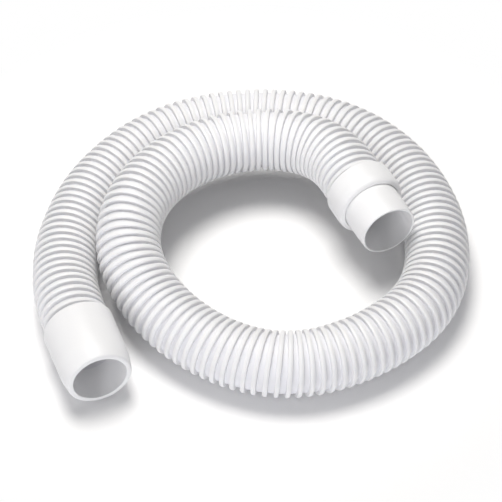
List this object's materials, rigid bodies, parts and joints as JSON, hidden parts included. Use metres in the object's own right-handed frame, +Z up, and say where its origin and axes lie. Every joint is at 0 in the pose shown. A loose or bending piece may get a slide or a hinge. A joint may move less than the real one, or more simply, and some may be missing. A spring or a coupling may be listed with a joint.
{
  "type": "vacuum hose",
  "caption": "White ribbed pool vacuum hose lying in one and a half turns, with a fixed cuff on one end and a swivel cuff on the other.",
  "frame": {"origin": "middle of the coiled hose's outline, on the surface that it lies on", "axes": "+Z up, +X across the coil to the right and +Y to its back, seen from the side that both mouths face"},
  "size_m": [0.2638, 0.2449, 0.0622],
  "materials": {
    "hose_plastic": "satin white blown plastic",
    "cuff_plastic": "satin white moulded plastic",
    "washer_plastic": "natural slippery plastic"
  },
  "bodies": {
    "hose": {"ribbed_hose": "hose_plastic", "fixed_cuff": "cuff_plastic", "swivel_collar": "cuff_plastic", "thrust_washer": "washer_plastic"},
    "mouth_cuff": {"swivel_cuff": "cuff_plastic"}
  },
  "joints": [
    {"name": "cuff_swivel", "type": "hinge", "parent": "hose", "child": "mouth_cuff", "pos_m": [0.07558, -0.00537, 0.0408], "axis": [0.4206, -0.9072, 0], "continuous": true}
  ]
}
